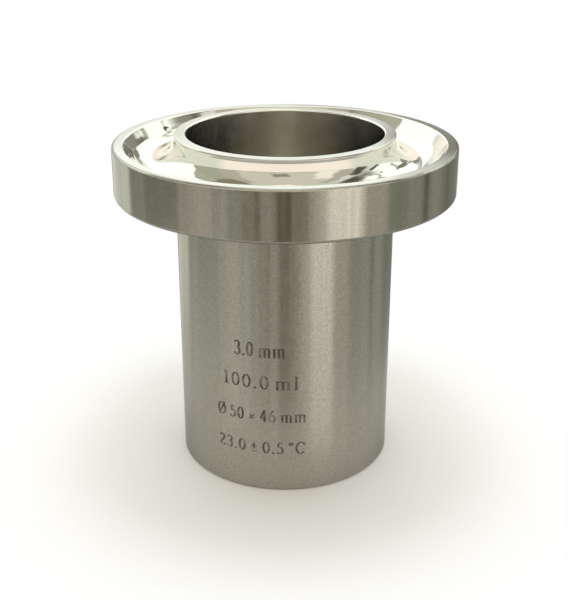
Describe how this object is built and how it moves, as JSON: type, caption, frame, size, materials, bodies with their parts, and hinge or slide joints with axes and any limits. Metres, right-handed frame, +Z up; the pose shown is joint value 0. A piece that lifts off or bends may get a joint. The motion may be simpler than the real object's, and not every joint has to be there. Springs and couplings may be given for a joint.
{
  "type": "viscosity cup",
  "caption": "Free-standing stainless flow cup: straight cylindrical cup with a broad overflow gallery, a conical floor with a jet, and a sleeve around the jet that it stands on.",
  "frame": {"origin": "centre of the foot ring, on the surface that the cup stands on", "axes": "+Z up along the cup's axis, from the foot ring to the rim; -Y is the front"},
  "size_m": [0.087, 0.087, 0.0876],
  "materials": {
    "cup_steel": "satin turned outside, mirror-polished gallery and rims",
    "jet_steel": "fine turned, with a polished capillary"
  },
  "bodies": {
    "root": {"cup_body": "cup_steel", "jet": "jet_steel"}
  },
  "joints": []
}
